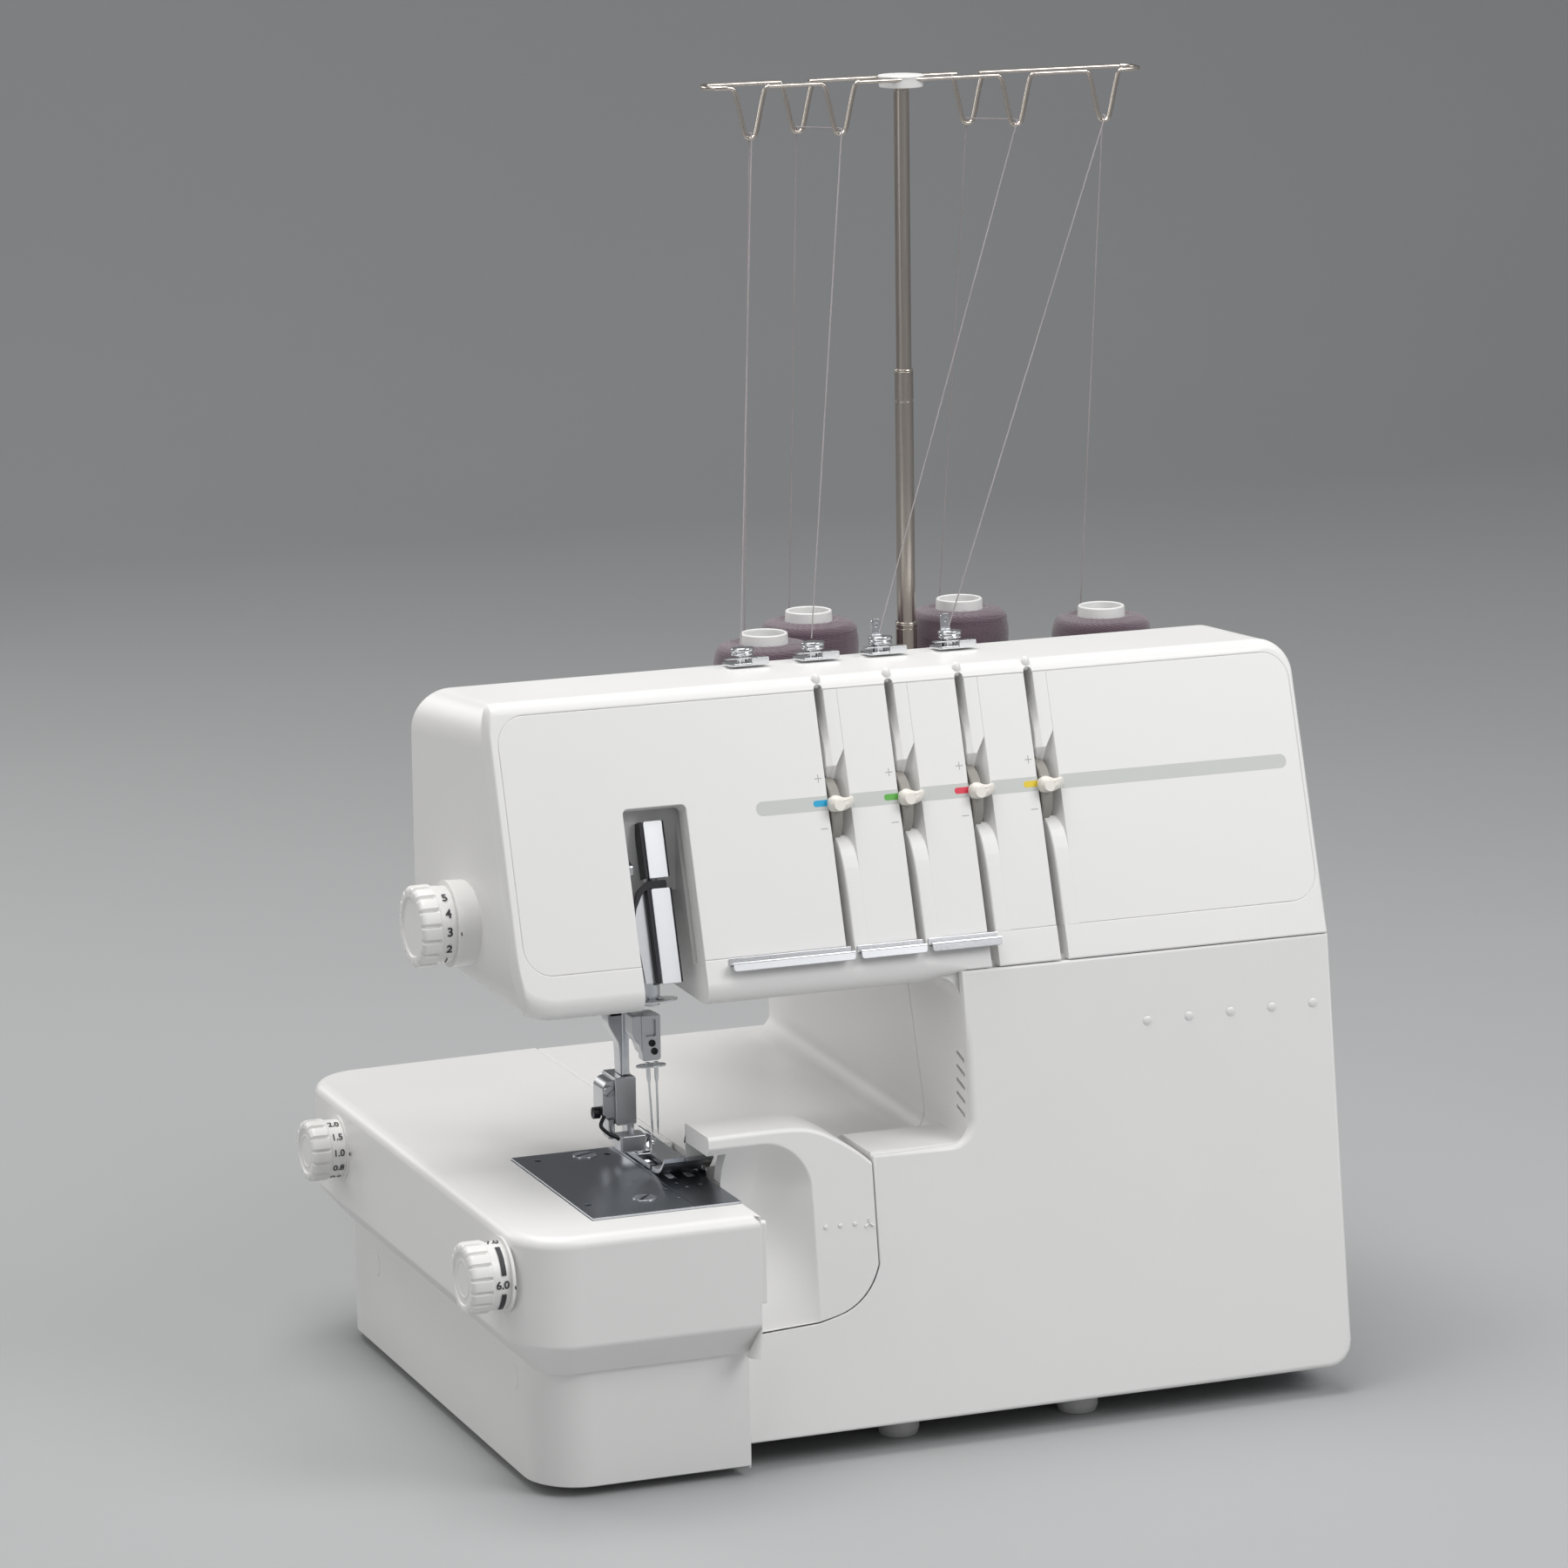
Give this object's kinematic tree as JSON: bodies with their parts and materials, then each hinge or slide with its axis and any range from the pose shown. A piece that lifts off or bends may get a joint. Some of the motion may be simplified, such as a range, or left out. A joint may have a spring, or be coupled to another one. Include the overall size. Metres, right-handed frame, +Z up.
{
  "type": "serger overlock machine",
  "caption": "Domestic overlock sewing machine: cloth deck, arm with leaning thread panel, looper cover, setting dials, spools and a telescopic thread mast.",
  "frame": {"origin": "middle of the bottom of the whole machine's box, on the table", "axes": "+X to the operator's right, +Y from the operator to the back, +Z up"},
  "size_m": [0.3806, 0.2768, 0.501],
  "materials": {
    "white_plastic": "satin moulded ABS, fine spark texture",
    "white_knob": "satin moulded ABS",
    "cream_plastic": "satin moulded plastic",
    "black_plastic": "satin moulded plastic",
    "belt_rubber": "moulded rubber",
    "foot_rubber": "matt rubber",
    "steel": "brushed and ground",
    "chrome": "polished chrome plate",
    "blackened_steel": "blackened tool steel",
    "satin_nickel": "satin nickel plate",
    "cast_metal": "as cast",
    "thread": "wound spun polyester sewing thread"
  },
  "bodies": {
    "root": {"base_plate": "cast_metal", "foot_1": "foot_rubber", "foot_2": "foot_rubber", "foot_3": "foot_rubber", "foot_4": "foot_rubber", "rear_housing": "white_plastic", "front_panel": "white_plastic", "deck_cover": "white_plastic", "lower_left_cover": "white_plastic", "needle_plate": "steel", "lower_knife": "steel", "take_up_guard": "chrome", "panel_guide_strip": "chrome", "pretension_guide_1": "chrome", "pretension_guide_2": "chrome", "pretension_guide_3": "chrome", "pretension_guide_4": "chrome", "spool_stand": "white_knob", "mast_base_tube": "satin_nickel", "power_inlet": "black_plastic", "motor": "cast_metal", "drive_belt": "belt_rubber", "thread_1": "thread", "thread_2": "thread", "thread_3": "thread", "thread_4": "thread"},
    "drive": {"handwheel": "white_knob", "main_shaft": "steel"},
    "motor_rotor": {"motor_pulley": "steel"},
    "needle_bar": {"needle_bar": "steel", "needle_clamp": "steel", "left_needle": "chrome", "right_needle": "chrome"},
    "take_up": {"take_up_lever": "steel"},
    "presser": {"presser_bar": "steel", "presser_ankle": "steel", "presser_foot": "chrome"},
    "lifter": {"presser_lifter": "cream_plastic"},
    "feed": {"feed_dog": "steel"},
    "knife": {"upper_knife": "blackened_steel"},
    "upper_looper": {"upper_looper": "steel"},
    "lower_looper": {"lower_looper": "steel"},
    "stitch_dial": {"stitch_length_dial": "white_knob"},
    "feed_dial": {"differential_feed_dial": "white_knob"},
    "width_dial": {"cutting_width_dial": "white_knob"},
    "cover_rod": {"hinge_rod": "steel"},
    "cover": {"front_cover": "white_plastic", "front_cover_inset": "white_plastic"},
    "mast_middle": {"mast_middle_tube": "satin_nickel"},
    "mast_top": {"mast_top_tube": "satin_nickel", "thread_guide_bar": "satin_nickel"},
    "switch": {"power_switch": "black_plastic"},
    "tension_1": {"tension_dial_1": "cream_plastic"},
    "spool_1": {"spool_1": "thread"},
    "tension_2": {"tension_dial_2": "cream_plastic"},
    "spool_2": {"spool_2": "thread"},
    "tension_3": {"tension_dial_3": "cream_plastic"},
    "spool_3": {"spool_3": "thread"},
    "tension_4": {"tension_dial_4": "cream_plastic"},
    "spool_4": {"spool_4": "thread"}
  },
  "joints": [
    {"name": "handwheel_turn", "type": "hinge", "parent": "root", "child": "drive", "pos_m": [0.1783, -0.0096, 0.08], "axis": [1, 0, 0], "continuous": true},
    {"name": "motor_turn", "type": "hinge", "parent": "root", "child": "motor_rotor", "pos_m": [0.1583, 0.0684, 0.062], "axis": [1, 0, 0], "continuous": true},
    {"name": "needle_bar_stroke", "type": "slide", "parent": "root", "child": "needle_bar", "axis": [0, 0, 1], "range_m": [-0.027, 0]},
    {"name": "take_up_swing", "type": "hinge", "parent": "root", "child": "take_up", "pos_m": [-0.1067, -0.0386, 0.235], "axis": [1, 0, 0], "range_deg": [0, 18]},
    {"name": "upper_knife_stroke", "type": "slide", "parent": "root", "child": "knife", "axis": [0, 0, 1], "range_m": [-0.005, 0]},
    {"name": "upper_looper_swing", "type": "hinge", "parent": "root", "child": "upper_looper", "pos_m": [-0.0477, -0.0716, 0.046], "axis": [0, 1, 0], "range_deg": [-16, 0]},
    {"name": "lower_looper_swing", "type": "hinge", "parent": "root", "child": "lower_looper", "pos_m": [-0.0677, -0.0616, 0.036], "axis": [0, 1, 0], "range_deg": [-14, 0]},
    {"name": "feed_dog_stroke", "type": "slide", "parent": "root", "child": "feed", "axis": [0, 1, 0], "range_m": [0, 0.0025]},
    {"name": "presser_lift", "type": "slide", "parent": "root", "child": "presser", "axis": [0, 0, 1], "range_m": [0, 0.006]},
    {"name": "presser_lifter_turn", "type": "hinge", "parent": "root", "child": "lifter", "pos_m": [-0.1177, -0.01, 0.194], "axis": [1, 0, 0], "range_deg": [0, 60]},
    {"name": "tension_1_turn", "type": "hinge", "parent": "root", "child": "tension_1", "pos_m": [-0.0243, -0.06543, 0.23755], "axis": [1, 0, 0], "range_deg": [-35, 35]},
    {"name": "tension_2_turn", "type": "hinge", "parent": "root", "child": "tension_2", "pos_m": [0.0046, -0.06543, 0.23755], "axis": [1, 0, 0], "range_deg": [-35, 35]},
    {"name": "tension_3_turn", "type": "hinge", "parent": "root", "child": "tension_3", "pos_m": [0.0337, -0.06543, 0.23755], "axis": [1, 0, 0], "range_deg": [-35, 35]},
    {"name": "tension_4_turn", "type": "hinge", "parent": "root", "child": "tension_4", "pos_m": [0.0623, -0.06543, 0.23755], "axis": [1, 0, 0], "range_deg": [-35, 35]},
    {"name": "stitch_length_turn", "type": "hinge", "parent": "root", "child": "stitch_dial", "pos_m": [-0.1767, -0.0456, 0.2035], "axis": [1, 0, 0], "range_deg": [-60, 60]},
    {"name": "differential_feed_turn", "type": "hinge", "parent": "root", "child": "feed_dial", "pos_m": [-0.1817, 0.0874, 0.085], "axis": [1, 0, 0], "range_deg": [-60, 60]},
    {"name": "cutting_width_turn", "type": "hinge", "parent": "root", "child": "width_dial", "pos_m": [-0.1817, -0.1151, 0.0865], "axis": [1, 0, 0], "range_deg": [-75, 75]},
    {"name": "cover_slide", "type": "slide", "parent": "root", "child": "cover_rod", "axis": [1, 0, 0], "range_m": [0, 0.008]},
    {"name": "cover_flip", "type": "hinge", "parent": "cover_rod", "child": "cover", "pos_m": [0.0383, -0.1126, 0.0172], "axis": [1, 0, 0], "range_deg": [0, 85]},
    {"name": "mast_middle_slide", "type": "slide", "parent": "root", "child": "mast_middle", "axis": [0, 0, 1], "range_m": [-0.088, 0], "deforming": ["thread_1", "thread_2", "thread_3", "thread_4"]},
    {"name": "mast_top_slide", "type": "slide", "parent": "mast_middle", "child": "mast_top", "axis": [0, 0, 1], "range_m": [-0.088, 0]},
    {"name": "spool_1_turn", "type": "hinge", "parent": "root", "child": "spool_1", "pos_m": [-0.0078, 0.0434, 0.25], "axis": [0, 0, 1], "continuous": true},
    {"name": "spool_2_turn", "type": "hinge", "parent": "root", "child": "spool_2", "pos_m": [0.0267, 0.0834, 0.25], "axis": [0, 0, 1], "continuous": true},
    {"name": "spool_3_turn", "type": "hinge", "parent": "root", "child": "spool_3", "pos_m": [0.0922, 0.0834, 0.25], "axis": [0, 0, 1], "continuous": true},
    {"name": "spool_4_turn", "type": "hinge", "parent": "root", "child": "spool_4", "pos_m": [0.1373, 0.0434, 0.25], "axis": [0, 0, 1], "continuous": true},
    {"name": "power_switch_rock", "type": "hinge", "parent": "root", "child": "switch", "pos_m": [0.1673, 0.0554, 0.045], "axis": [0, 0, 1], "range_deg": [0, 16]}
  ],
  "couplings": [
    {"joint": "motor_turn", "follows": "handwheel_turn", "ratio": 3},
    {"joint": "take_up_swing", "follows": "needle_bar_stroke", "rad_per_m": -11.63},
    {"joint": "upper_knife_stroke", "follows": "needle_bar_stroke", "ratio": 0.185},
    {"joint": "upper_looper_swing", "follows": "needle_bar_stroke", "rad_per_m": 10.338},
    {"joint": "lower_looper_swing", "follows": "needle_bar_stroke", "rad_per_m": 9.0449},
    {"joint": "feed_dog_stroke", "follows": "needle_bar_stroke", "ratio": -0.0925},
    {"joint": "presser_lifter_turn", "follows": "presser_lift", "rad_per_m": 174.52},
    {"joint": "mast_top_slide", "follows": "mast_middle_slide", "ratio": 1}
  ]
}
